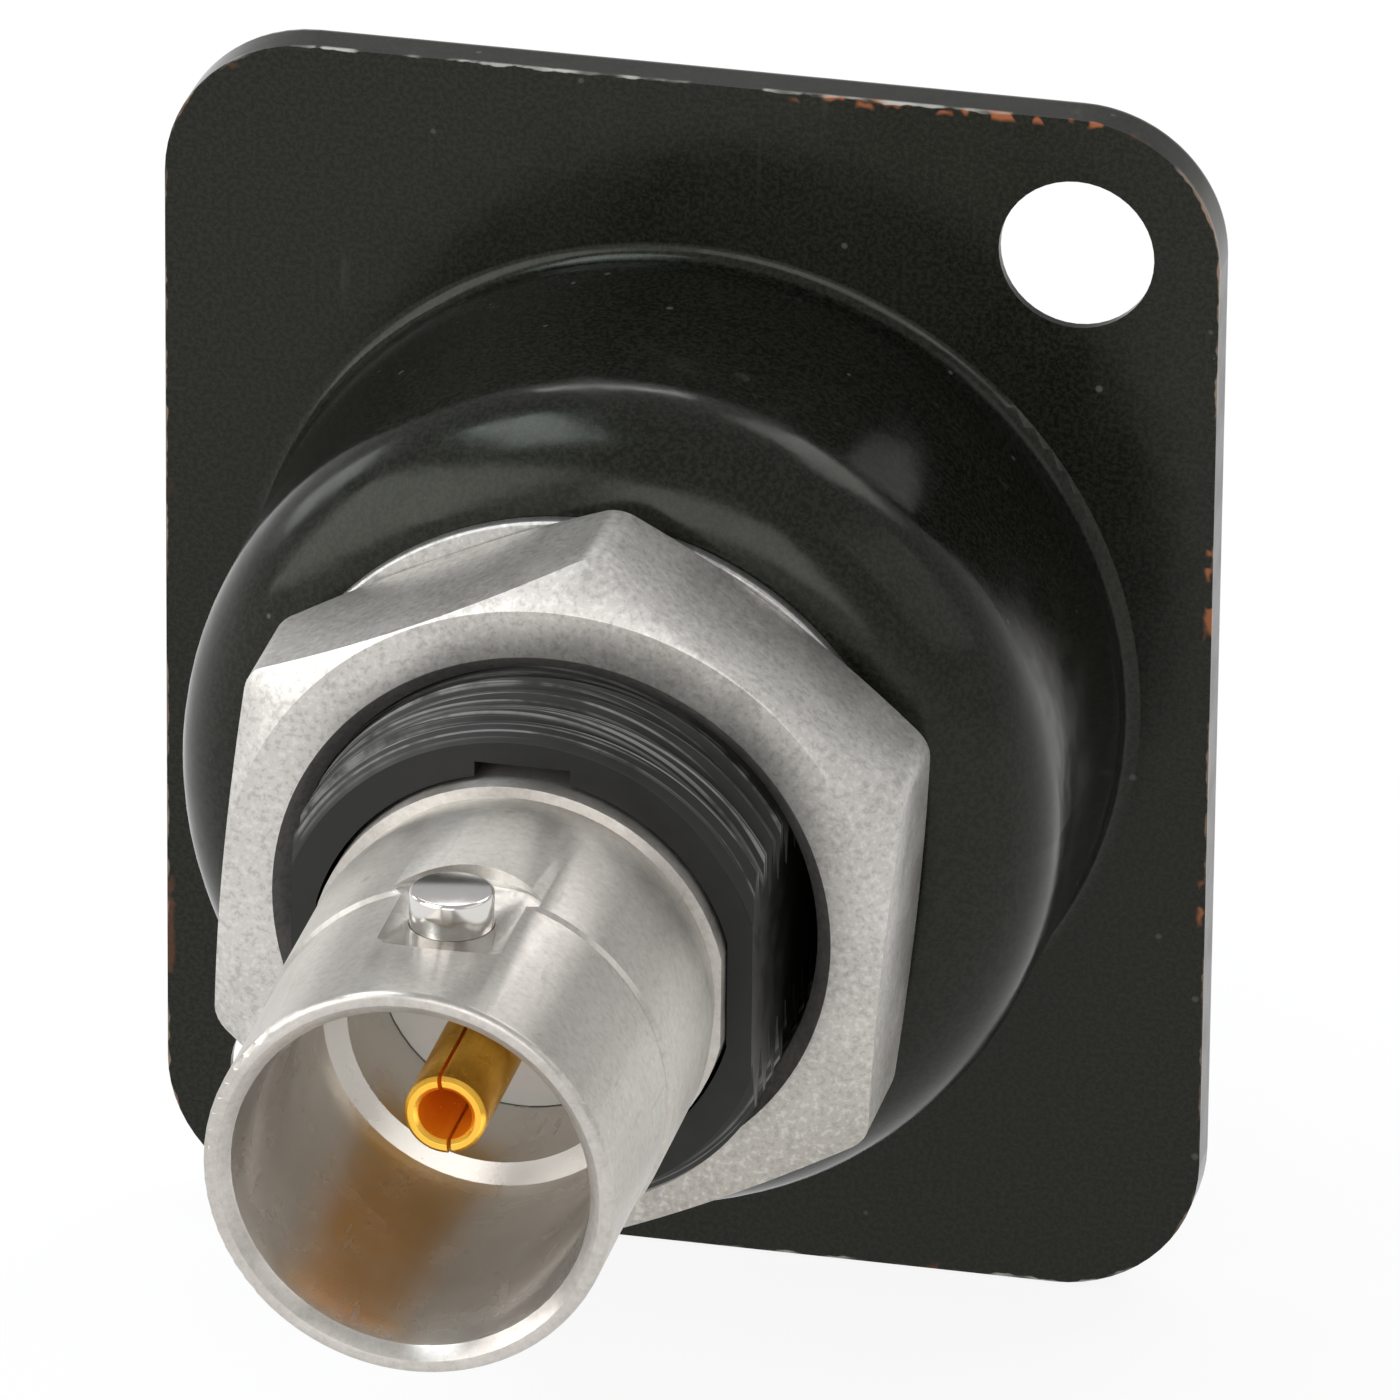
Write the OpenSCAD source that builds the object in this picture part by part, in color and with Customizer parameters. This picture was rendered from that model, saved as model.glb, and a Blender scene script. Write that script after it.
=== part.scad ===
// Isolated BNC feed-through connector on a 26 x 31 mm D-shape flange.
// Two bayonet jacks share one centre contact; a plastic bush insulates them from the flange.
// Origin: centre of the flange in the plane of its rear face, which lies on the panel.
// +Y is the user's side, -Y the inside of the rack, +Z up along the long side of the flange.

/* [Flange] */
// Width of the flange
flange_w = 26; // [25:0.5:30]
// Height of the flange
flange_h = 31; // [30:0.5:36]
// Sheet thickness of the flange
flange_t = 1.45; // [1.2:0.05:1.8]
// Corner radius of the flange
corner_r = 3.6; // [2:0.1:5]
// Rolled radius along the front edge
edge_r = 0.45; // [0.2:0.05:0.6]
// Distance between the two screws across the flange
screw_dx = 19; // [18:0.5:20]
// Distance between the two screws up the flange
screw_dz = 24; // [23:0.5:26]
// Diameter of a screw hole where it meets the panel
screw_d = 3.8; // [3.2:0.1:4]
// Diameter of the countersink at the front face
sink_d = 6.2; // [5:0.1:6.4]

/* [Drawn dish] */
// Radius of the dish's outside at the flange
dish_r = 10.9; // [10.5:0.1:11.2]
// Depth of the dish behind the flange
dish_depth = 9.75; // [9:0.25:11]
// Wall thickness of the dish
dish_wall = 1.4; // [1:0.1:1.6]
// How much narrower the wall is at the bottom of the dish
dish_draft = 0.15; // [0:0.05:0.4]
// Outside shoulder radius
shoulder_r = 2.8; // [2:0.1:3.2]
// Radius of the crease between flange and dish
crease_r = 0.4; // [0.2:0.1:0.8]
// Radius of the mouth on the front face
mouth_r = 1; // [0.5:0.1:1.3]

/* [Insulating bush] */
// Major diameter of the bush thread
thread_d = 12.7; // [12:0.1:13]
// Width across the two flats of the bush
bush_flats = 11.1; // [10.9:0.1:11.6]
// How far the bush stands behind the flange
bush_end = 17.5; // [16.5:0.25:18.5]
// Radius of the bush's front collar
collar_r = 8; // [7.5:0.1:8.6]
// Thickness of the collar
collar_t = 1.5; // [1:0.1:2]
// Thickness of the inner web that both jacks clamp
web_t = 1.5; // [1:0.1:2]
// Width of the moulded notch at the top of the rear opening
notch_w = 2.3; // [1.5:0.1:3]
// Height of the notch
notch_h = 0.25; // [0.2:0.05:0.5]

/* [Nut and washer] */
// Least wall of the nut outside the thread
nut_wall = 1.65; // [1.4:0.05:2.2]
// Thickness of the nut
nut_t = 4.3; // [3:0.1:4.6]
// Angle that the tightened nut stopped at
nut_turn = 55; // [0:1:60]
// How much smaller than the flats the nut's turned faces are, in diameter
nut_face_less = 0.1; // [0:0.05:0.4]
// How much larger than the nut's flats the washer is, in diameter
washer_over = 0; // [-0.2:0.05:0.6]
// Play of the washer on the thread, in radius
washer_play = 0.5; // [0.45:0.01:0.7]
// How far the washer was clamped off centre, across
washer_dx = -0.26; // [-0.3:0.02:0.3]
// How far the washer was clamped off centre, up
washer_dz = 0.34; // [-0.3:0.02:0.36]
// Thickness of the washer
washer_t = 0.4; // [0.3:0.05:0.6]

/* [Jacks] */
// Outside diameter of a jack barrel
barrel_d = 9.7; // [9.6:0.05:9.8]
// Bore of a jack barrel
bore_d = 8.14; // [8.1:0.01:8.2]
// Distance of the rear rim behind the flange
rear_reach = 28.95; // [28:0.05:30]
// Distance of the front rim from the rear face of the flange
front_reach = 4.5; // [4:0.1:6]
// Depth of the bore from the rim to the shoulder
shoulder_depth = 8.45; // [8.3:0.05:8.6]
// Diameter of the opening inside the shoulder
inner_d = 6.95; // [6.8:0.05:7.3]
// Diameter of the base section behind the lugs
base_d = 9.9; // [9.8:0.05:10]
// Distance from the rim to the step between base and barrel
step_depth = 5.6; // [5.4:0.1:6.4]
// Diameter of the locating ring that sits in the bush
ring_d = 10.06; // [10:0.02:10.2]
// Width across the flats of the locating ring
ring_flats = 9.8; // [9.4:0.1:9.9]
// Distance from the rim to the locating ring
ring_depth = 11; // [10.5:0.1:11.5]

/* [Bayonet lugs] */
// Diameter of a lug
lug_d = 1.98; // [1.8:0.02:2.1]
// Wall left between the bore and a lug's foot
lug_floor = 0.2; // [0.15:0.05:0.3]
// Distance over both lugs
lug_span = 11; // [10.8:0.1:11.1]
// Distance from the rim to the middle of a lug
lug_depth = 4.35; // [4.2:0.05:4.6]
// Diameter of the spot face around a lug
spot_d = 4.4; // [4:0.1:4.6]
// Distance of the spot face's middle behind the lug's
spot_off = 0.3; // [0:0.05:0.5]
// Height of the spot face above the axis
spot_z = 4.62; // [4.5:0.02:4.8]

/* [Contact and insulators] */
// Outside diameter of the contact
contact_d = 1.96; // [1.8:0.02:2.1]
// Bore of the contact
pin_bore_d = 1.28; // [1.2:0.02:1.4]
// Distance of the contact's tip inside the rim
contact_depth = 3.65; // [3.5:0.05:4.2]
// Width of the slots in the contact
slot_w = 0.1; // [0.08:0.01:0.3]
// Angle that the slots lie at
slot_turn = 8; // [0:1:90]
// Length of the slots
slot_l = 5.5; // [4:0.1:6]
// Depth of the contact's bore
pin_bore_l = 6; // [5:0.1:7]
// Distance from the rim to the insulator's face
insulator_depth = 11.5; // [11.2:0.1:12]

/* [Hidden] */
$fn = 96;
// Small distances that keep cuts clean and pieces apart
eps = 0.05;
fit = 0.02;
play = 0.1;
// Places along the axis, as y
dish_y = -dish_depth;
floor_y = dish_y + dish_wall;
washer_y = dish_y - washer_t;
nut_y = washer_y - nut_t;
collar_y = floor_y + collar_t;
mid_y = (front_reach - rear_reach) / 2;
web_back_y = mid_y - web_t / 2;
web_front_y = mid_y + web_t / 2;
bush_y = -bush_end;
// Radii
thread_r = thread_d / 2;
nut_af = thread_d + 2 * nut_wall;
nut_face_r = (nut_af - nut_face_less) / 2;
washer_r = (nut_af + washer_over) / 2;
washer_hole_r = thread_r + washer_play;
recess_r = dish_r - dish_wall;
bush_bore_r = ring_d / 2 + play;
bore_r = bore_d / 2;
bush_bore_flats = ring_flats + play;
inner_r = inner_d / 2;
lug_root = bore_r + lug_floor;
// Coupling between the two jacks: the front jack's neck enters the rear jack's socket
neck_r = 4.1;
neck_bore_r = 2.9;
neck_l = 2.4;
socket_y = web_back_y - neck_l;
seat_y = 2 * mid_y - socket_y;
// Collar in the middle of the contact
stop_r = 1.45;
stop_l = 1.5;

// Puts what is drawn along Z on the connector's axis, +Z becoming +Y.
module along_y() {
    rotate([-90, 0, 0]) children();
}

// Round body from a closed profile of [radius, y] points.
module turned(profile) {
    along_y() rotate_extrude() polygon(profile);
}

// Round bar with two flats, from y0 to y1.
module double_d(r, flats, y0, y1) {
    intersection() {
        along_y() translate([0, 0, y0]) cylinder(r = r, h = y1 - y0);
        translate([-flats / 2, y0 - eps, -r - eps]) cube([flats, y1 - y0 + 2 * eps, 2 * r + 2 * eps]);
    }
}

// Section of the flange from a corner's centre line outwards, rounded at the front edge.
module edge_section() {
    square([corner_r - edge_r, flange_t]);
    square([corner_r, flange_t - edge_r]);
    translate([corner_r - edge_r, flange_t - edge_r]) circle(r = edge_r);
}

// Straight side of the flange, facing +X, with its middle at the origin.
module edge_bar(length) {
    translate([0, length / 2, 0]) rotate([90, 0, 0]) linear_extrude(length) edge_section();
}

// Flange before it is drawn and pierced: middle, four sides and four corners, face to face.
module flange_blank() {
    mid_w = flange_w - 2 * corner_r;
    mid_h = flange_h - 2 * corner_r;
    linear_extrude(flange_t) square([mid_w, mid_h], center = true);
    for (a = [0, 180]) {
        rotate([0, 0, a]) translate([mid_w / 2, 0, 0]) edge_bar(mid_h);
        rotate([0, 0, a + 90]) translate([mid_h / 2, 0, 0]) edge_bar(mid_w);
        rotate([0, 0, a]) translate([mid_w / 2, mid_h / 2, 0]) rotate_extrude(angle = 90) edge_section();
        rotate([0, 0, a + 90]) translate([mid_h / 2, mid_w / 2, 0]) rotate_extrude(angle = 90) edge_section();
    }
}

// Outside of the drawn dish as a solid cup, with its crease and shoulder.
module dish_outside() {
    foot = dish_r - dish_draft;
    along_y() rotate_extrude() {
        difference() {
            polygon([[0, dish_y], [foot - shoulder_r, dish_y], [foot, dish_y + shoulder_r],
                [dish_r, -crease_r], [dish_r + crease_r, 0], [dish_r + crease_r, eps], [0, eps]]);
            translate([dish_r + crease_r, -crease_r]) circle(r = crease_r);
        }
        translate([foot - shoulder_r, dish_y + shoulder_r]) circle(r = shoulder_r);
    }
}

// Space inside the dish, with the rounded mouth on the front face.
module dish_inside() {
    foot = recess_r - dish_draft;
    bend = shoulder_r - dish_wall;
    along_y() rotate_extrude() {
        polygon([[0, floor_y], [foot - bend, floor_y], [foot, floor_y + bend],
            [recess_r, flange_t - mouth_r], [recess_r, flange_t + eps], [0, flange_t + eps]]);
        translate([foot - bend, floor_y + bend]) circle(r = bend);
        difference() {
            translate([recess_r - eps, flange_t - mouth_r]) square([mouth_r + eps, mouth_r + eps]);
            translate([recess_r + mouth_r, flange_t - mouth_r]) circle(r = mouth_r);
        }
    }
}

// Screw hole with its countersink open to the front.
module screw_hole() {
    land = flange_t - (sink_d - screw_d) / 2;
    turned([[0, -eps], [screw_d / 2, -eps], [screw_d / 2, land], [sink_d / 2 + eps, flange_t + eps],
        [0, flange_t + eps]]);
}

// Stamped and drawn steel flange.
module flange_plate() {
    color("#2b2b29") difference() {
        union() {
            along_y() flange_blank();
            dish_outside();
        }
        dish_inside();
        double_d(thread_r + play, bush_flats + 2 * play, dish_y - eps, floor_y + eps);
        for (s = [-1, 1])
            translate([s * screw_dx / 2, 0, s * screw_dz / 2]) screw_hole();
    }
}

// Moulded bush: front collar, threaded barrel with two flats, recesses for both jacks and a web.
module insulating_bush() {
    chamfer = 0.35;
    color("#26262a") difference() {
        union() {
            turned([[0, floor_y], [collar_r, floor_y], [collar_r, collar_y - chamfer],
                [collar_r - chamfer, collar_y], [0, collar_y]]);
            intersection() {
                double_d(thread_r, bush_flats, bush_y, floor_y + eps);
                turned([[0, bush_y], [thread_r - chamfer, bush_y], [thread_r, bush_y + chamfer],
                    [thread_r, floor_y + eps], [0, floor_y + eps]]);
            }
        }
        double_d(bush_bore_r, bush_bore_flats, bush_y - eps, web_back_y);
        double_d(bush_bore_r, bush_bore_flats, web_front_y, collar_y + eps);
        along_y() translate([0, 0, web_back_y - eps]) cylinder(r = neck_r + play, h = web_t + 2 * eps);
        translate([-notch_w / 2, bush_y - eps, 0])
            cube([notch_w, notch_w, bush_bore_r + notch_h]);
    }
}

// Plain washer between dish and nut, clamped a little off centre.
module flat_washer() {
    soft = 0.06;
    color("#d8d6d0") translate([washer_dx, 0, washer_dz])
        turned([[washer_hole_r, washer_y], [washer_r - soft, washer_y], [washer_r, washer_y + soft],
            [washer_r, dish_y], [washer_hole_r, dish_y]]);
}

// Hexagon nut, chamfered at both faces, with countersunk thread ends.
module hex_nut() {
    corner = nut_af / sqrt(3);
    drop = (corner + eps - nut_face_r) * tan(30);
    sink = 0.52;
    sink_r = thread_r + sink + eps;
    color("#d4d2cc") difference() {
        intersection() {
            along_y() translate([0, 0, nut_y]) rotate(30 - nut_turn)
                cylinder(r = corner, h = nut_t, $fn = 6);
            turned([[0, nut_y], [nut_face_r, nut_y], [corner + eps, nut_y + drop],
                [corner + eps, washer_y - drop], [nut_face_r, washer_y], [0, washer_y]]);
        }
        turned([[0, nut_y - eps], [sink_r, nut_y - eps], [thread_r + fit, nut_y + sink],
            [thread_r + fit, washer_y - sink], [sink_r, washer_y + eps], [0, washer_y + eps]]);
    }
}

// Blind hole for a lug's shank and the spot face around it, on the upper side of a rear barrel.
module lug_seat() {
    at_y = -rear_reach + lug_depth;
    translate([0, at_y, lug_root - fit]) cylinder(r = lug_d / 2 + fit / 2, h = barrel_d);
    translate([0, at_y + spot_off, spot_z]) cylinder(r = spot_d / 2, h = barrel_d);
}

// Barrel of a jack, rim to the rear, with its locating ring. Both jacks are cut from it.
module jack_shell() {
    rim_y = -rear_reach;
    lip = 0.17;
    bevel = 0.28;
    lead_in = 0.17;
    lead_in_l = 1;
    waist_in = 0.2;
    waist_l = 1.25;
    barrel_r = barrel_d / 2;
    base_r = base_d / 2;
    open_r = bore_r + lead_in;
    ring_r = ring_d / 2;
    ring_y = rim_y + ring_depth;
    step_y = rim_y + step_depth;
    difference() {
        union() {
            along_y() rotate_extrude() {
                polygon([[0, rim_y], [barrel_r - lip, rim_y], [barrel_r, rim_y + lip],
                    [barrel_r, step_y], [base_r, step_y + (base_r - barrel_r)],
                    [base_r, ring_y - waist_l], [base_r - waist_in, ring_y + eps], [0, ring_y + eps]]);
                translate([barrel_r - lip, rim_y + lip]) circle(r = lip);
            }
            double_d(ring_r, ring_flats, ring_y, web_back_y - fit);
        }
        turned([[0, rim_y - eps], [open_r + bevel + eps, rim_y - eps], [open_r, rim_y + bevel],
            [bore_r, rim_y + lead_in_l], [bore_r, rim_y + shoulder_depth], [0, rim_y + shoulder_depth]]);
        lug_seat();
        mirror([0, 0, 1]) lug_seat();
    }
}

// Swaps rear and front about the middle of the connector.
module to_front() {
    translate([0, 2 * mid_y, 0]) mirror([0, 1, 0]) children();
}

// Rear jack, with the socket that takes the front jack's neck.
module rear_jack() {
    color("#dad8d3") difference() {
        jack_shell();
        along_y() translate([0, 0, -rear_reach + shoulder_depth - eps])
            cylinder(r = inner_r, h = rear_reach);
        along_y() translate([0, 0, socket_y]) cylinder(r = neck_r + fit, h = neck_l + 1);
    }
}

// Front jack, with the neck that passes the bush's web.
module front_jack() {
    color("#dad8d3") difference() {
        union() {
            to_front() jack_shell();
            along_y() translate([0, 0, socket_y + fit])
                cylinder(r = neck_r, h = web_front_y - socket_y);
        }
        along_y() translate([0, 0, seat_y]) cylinder(r = inner_r, h = rear_reach);
        along_y() translate([0, 0, socket_y - 1]) cylinder(r = neck_bore_r, h = rear_reach);
    }
}

// One lug pin, pressed into the upper side of the rear barrel.
module lug() {
    soft = 0.06;
    translate([0, -rear_reach + lug_depth, 0])
        rotate_extrude() polygon([[0, lug_root], [lug_d / 2, lug_root],
            [lug_d / 2, lug_span / 2 - soft], [lug_d / 2 - soft, lug_span / 2], [0, lug_span / 2]]);
}

module rear_lug_top() {
    color("#e0deda") lug();
}

module rear_lug_bottom() {
    color("#e0deda") mirror([0, 0, 1]) lug();
}

module front_lug_top() {
    color("#e0deda") to_front() lug();
}

module front_lug_bottom() {
    color("#e0deda") to_front() mirror([0, 0, 1]) lug();
}

// Insulator of the rear jack: its head fills the jack, its shank lies in the neck around the contact.
module insulator_half() {
    face_y = -rear_reach + insulator_depth;
    head_y = socket_y - fit;
    end_y = mid_y - fit;
    stop_y = end_y - stop_l / 2;
    head_r = inner_r - fit;
    shank_r = neck_bore_r - fit;
    hole_r = contact_d / 2 + fit;
    turned([[hole_r, face_y], [head_r, face_y], [head_r, head_y], [shank_r, head_y],
        [shank_r, end_y], [stop_r + fit, end_y], [stop_r + fit, stop_y], [hole_r, stop_y]]);
}

module rear_insulator() {
    color("#e6e5df") insulator_half();
}

module front_insulator() {
    color("#e6e5df") to_front() insulator_half();
}

// Half of the contact, from its middle to the rear tip.
module contact_half() {
    tip_y = -rear_reach + contact_depth;
    contact_r = contact_d / 2;
    pin_r = pin_bore_d / 2;
    soft = 0.1;
    difference() {
        turned([[0, mid_y], [0, tip_y + pin_bore_l], [pin_r, tip_y + pin_bore_l], [pin_r, tip_y + soft],
            [pin_r + soft, tip_y], [contact_r - soft, tip_y], [contact_r, tip_y + soft],
            [contact_r, mid_y - stop_l / 2], [stop_r, mid_y - stop_l / 2], [stop_r, mid_y]]);
        rotate([0, -slot_turn, 0]) translate([-slot_w / 2, tip_y - eps, -contact_d])
            cube([slot_w, slot_l + eps, 2 * contact_d]);
    }
}

// Double-ended socket contact.
module centre_contact() {
    color("#d9a441") {
        contact_half();
        to_front() contact_half();
    }
}

flange_plate();
insulating_bush();
flat_washer();
hex_nut();
rear_jack();
front_jack();
rear_lug_top();
rear_lug_bottom();
front_lug_top();
front_lug_bottom();
rear_insulator();
front_insulator();
centre_contact();
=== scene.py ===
import math

import bmesh
import bpy
from mathutils import Euler, Matrix, Vector


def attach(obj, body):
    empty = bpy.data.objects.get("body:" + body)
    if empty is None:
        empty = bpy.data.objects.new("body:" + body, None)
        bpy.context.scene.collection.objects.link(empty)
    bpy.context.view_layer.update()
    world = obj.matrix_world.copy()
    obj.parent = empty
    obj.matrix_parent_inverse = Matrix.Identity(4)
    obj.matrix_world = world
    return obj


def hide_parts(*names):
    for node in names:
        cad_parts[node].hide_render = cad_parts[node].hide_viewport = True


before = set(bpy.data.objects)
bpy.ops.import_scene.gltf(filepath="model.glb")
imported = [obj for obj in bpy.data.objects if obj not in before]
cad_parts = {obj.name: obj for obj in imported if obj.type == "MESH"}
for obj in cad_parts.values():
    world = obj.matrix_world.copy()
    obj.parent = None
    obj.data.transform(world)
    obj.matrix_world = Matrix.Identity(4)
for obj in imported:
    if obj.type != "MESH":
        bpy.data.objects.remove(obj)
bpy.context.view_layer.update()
mm = 0.001
sceneCollection = bpy.context.scene.collection
print("frame loaded:", len(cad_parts), "nodes")


# helpers for shader nodes

def addNode(tree, kind, label="", **values):
    node = tree.nodes.new(kind)
    node.label = label
    for key, value in values.items():
        setattr(node, key, value)
    return node


def math2(tree, operation, a, b=None, clamp=False):
    node = addNode(tree, "ShaderNodeMath", operation.lower(), operation=operation, use_clamp=clamp)
    for socket, value in zip(node.inputs, (a, b)):
        if value is None:
            continue
        if isinstance(value, (int, float)):
            socket.default_value = value
        else:
            tree.links.new(value, socket)
    return node.outputs[0]


def remap(tree, value, low, high, newLow=0.0, newHigh=1.0):
    node = addNode(tree, "ShaderNodeMapRange", "remap", interpolation_type="SMOOTHSTEP")
    tree.links.new(value, node.inputs["Value"])
    for name, number in (("From Min", low), ("From Max", high), ("To Min", newLow), ("To Max", newHigh)):
        node.inputs[name].default_value = number
    return node.outputs["Result"]


def mixColour(tree, share, a, b, blend="MIX"):
    node = addNode(tree, "ShaderNodeMix", "mix", data_type="RGBA", blend_type=blend)
    if isinstance(share, float):
        node.inputs[0].default_value = share
    else:
        tree.links.new(share, node.inputs[0])
    for socket, value in ((node.inputs[6], a), (node.inputs[7], b)):
        if isinstance(value, (tuple, list)):
            socket.default_value = (*value[:3], 1.0)
        else:
            tree.links.new(value, socket)
    return node.outputs[2]


def objectCoords(tree, scale=(1, 1, 1), rotation=(0, 0, 0)):
    coords = addNode(tree, "ShaderNodeTexCoord", "object")
    mapping = addNode(tree, "ShaderNodeMapping", "place", vector_type="POINT")
    mapping.inputs["Scale"].default_value = scale
    mapping.inputs["Rotation"].default_value = rotation
    tree.links.new(coords.outputs["Object"], mapping.inputs["Vector"])
    return mapping.outputs["Vector"]


def axesOf(tree, vector):
    split = addNode(tree, "ShaderNodeSeparateXYZ", "axes")
    tree.links.new(vector, split.inputs[0])
    return split.outputs


def lengthOf(tree, a, b):
    squares = math2(tree, "ADD", math2(tree, "MULTIPLY", a, a), math2(tree, "MULTIPLY", b, b))
    return math2(tree, "SQRT", squares)


def noise(tree, vector, scale, detail=2.0, roughness=0.5):
    node = addNode(tree, "ShaderNodeTexNoise", "noise")
    tree.links.new(vector, node.inputs["Vector"])
    node.inputs["Scale"].default_value = scale
    node.inputs["Detail"].default_value = detail
    node.inputs["Roughness"].default_value = roughness
    return node.outputs["Fac"]


def groupStart(name, inputs, outputs):
    group = bpy.data.node_groups.new(name, "ShaderNodeTree")
    for label, kind, default in inputs:
        socket = group.interface.new_socket(label, in_out="INPUT", socket_type=kind)
        if default is not None:
            socket.default_value = default
    for label, kind in outputs:
        group.interface.new_socket(label, in_out="OUTPUT", socket_type=kind)
    return group, group.nodes.new("NodeGroupInput").outputs, group.nodes.new("NodeGroupOutput").inputs


def placeGroup(tree, group, **values):
    node = tree.nodes.new("ShaderNodeGroup")
    node.node_tree = group
    for label, value in values.items():
        socket = node.inputs[label]
        if isinstance(value, (int, float, tuple)):
            socket.default_value = value
        else:
            tree.links.new(value, socket)
    return node.outputs


def bumpInto(tree, shader, height, distance):
    bump = addNode(tree, "ShaderNodeBump", "bump")
    bump.inputs["Distance"].default_value = distance
    bump.inputs["Strength"].default_value = 1.0
    tree.links.new(height, bump.inputs["Height"])
    tree.links.new(bump.outputs["Normal"], shader.inputs["Normal"])


def shades(colour, low, high):
    # a darker and a lighter tone of one colour
    return tuple(low * c for c in colour), tuple(min(1, high * c) for c in colour)


def newMaterial(name, **sockets):
    material = bpy.data.materials.new(name)
    material.use_nodes = True
    tree = material.node_tree
    shader = tree.nodes["Principled BSDF"]
    for label, value in sockets.items():
        shader.inputs[label.replace("_", " ")].default_value = value
    return material, tree, shader


# effects that several finishes share

def makeSpecks():
    # small round dust specks, as a mask
    group, given, result = groupStart("dustSpecks", [("Vector", "NodeSocketVector", None),
        ("Scale", "NodeSocketFloat", 900.0), ("Size", "NodeSocketFloat", 0.12), ("Share", "NodeSocketFloat", 0.3)],
        [("Mask", "NodeSocketFloat")])
    cells = addNode(group, "ShaderNodeTexVoronoi", "cells")
    group.links.new(given["Vector"], cells.inputs["Vector"])
    group.links.new(given["Scale"], cells.inputs["Scale"])
    split = addNode(group, "ShaderNodeSeparateColor", "cell numbers")
    group.links.new(cells.outputs["Color"], split.inputs["Color"])
    chosen = math2(group, "LESS_THAN", split.outputs[0], given["Share"])
    size = math2(group, "MULTIPLY", given["Size"], math2(group, "ADD", split.outputs[1], 0.35))
    near = math2(group, "SUBTRACT", 1.0, math2(group, "DIVIDE", cells.outputs["Distance"], size), clamp=True)
    soft = math2(group, "POWER", near, 0.5)
    group.links.new(math2(group, "MULTIPLY", soft, chosen), result["Mask"])
    return group


def makeScratches():
    # fine straight marks along one stretched direction, as a mask
    group, given, result = groupStart("fineScratches", [("Vector", "NodeSocketVector", None),
        ("Scale", "NodeSocketFloat", 600.0), ("Cut", "NodeSocketFloat", 0.7)], [("Mask", "NodeSocketFloat")])
    marks = addNode(group, "ShaderNodeTexNoise", "marks")
    group.links.new(given["Vector"], marks.inputs["Vector"])
    group.links.new(given["Scale"], marks.inputs["Scale"])
    marks.inputs["Detail"].default_value = 3.0
    over = math2(group, "SUBTRACT", marks.outputs["Fac"], given["Cut"], clamp=True)
    group.links.new(math2(group, "MULTIPLY", over, 12.0, clamp=True), result["Mask"])
    return group


def makeTurning():
    # tool lines of a lathe round the connector's axis: Along 0 gives rings on a face, 1 lines round a barrel
    group, given, result = groupStart("turningLines", [("Vector", "NodeSocketVector", None),
        ("Pitch", "NodeSocketFloat", 9000.0), ("Along", "NodeSocketFloat", 0.0)], [("Value", "NodeSocketFloat")])
    x, y, z = axesOf(group, given["Vector"])
    radius = lengthOf(group, x, z)
    blend = addNode(group, "ShaderNodeMix", "face or barrel", data_type="FLOAT")
    group.links.new(given["Along"], blend.inputs[0])
    group.links.new(radius, blend.inputs[2])
    group.links.new(y, blend.inputs[3])
    place = addNode(group, "ShaderNodeCombineXYZ", "line place")
    group.links.new(math2(group, "MULTIPLY", blend.outputs[0], given["Pitch"]), place.inputs[0])
    angle = math2(group, "ARCTAN2", x, z)
    group.links.new(math2(group, "MULTIPLY", angle, 0.35), place.inputs[1])
    lines = addNode(group, "ShaderNodeTexNoise", "lines")
    lines.inputs["Scale"].default_value = 1.0
    lines.inputs["Detail"].default_value = 2.0
    group.links.new(place.outputs[0], lines.inputs["Vector"])
    group.links.new(lines.outputs["Fac"], result["Value"])
    return group


def makeFlecks():
    # fine pale and dark flecks of dulled plating, as two masks
    group, given, result = groupStart("platingFlecks", [("Vector", "NodeSocketVector", None),
        ("Scale", "NodeSocketFloat", 5200.0)], [("Pale", "NodeSocketFloat"), ("Dark", "NodeSocketFloat")])
    field = addNode(group, "ShaderNodeTexNoise", "flecks")
    group.links.new(given["Vector"], field.inputs["Vector"])
    group.links.new(given["Scale"], field.inputs["Scale"])
    field.inputs["Detail"].default_value = 2.0
    field.inputs["Roughness"].default_value = 0.7
    group.links.new(remap(group, field.outputs["Fac"], 0.54, 0.64), result["Pale"])
    group.links.new(remap(group, field.outputs["Fac"], 0.46, 0.38), result["Dark"])
    return group


specks = makeSpecks()
scratches = makeScratches()
turning = makeTurning()
flecks = makeFlecks()

paintLook = {"colour": (0.0062, 0.0066, 0.0044), "tones": (0.5, 1.8), "roughness": 0.19, "specular": 0.27,
    "tint": (0.97, 1.0, 0.88, 1.0), "peelScale": 1500.0, "peelHeight": 0.0065 * mm, "bare": (0.46, 0.44, 0.41),
    "sideWear": (0.22, 0.15, 0.11), "copper": (0.30, 0.095, 0.035), "dust": (0.17, 0.16, 0.14), "dustAmount": 0.45,
    "hair": (0.12, 0.12, 0.11), "hairAmount": 0.12, "halfWidth": 13 * mm, "halfHeight": 15.5 * mm,
    "corner": 3.6 * mm, "burrDepth": 0.05 * mm, "chipDepth": 0.24 * mm, "raggedness": 0.28 * mm}


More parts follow.
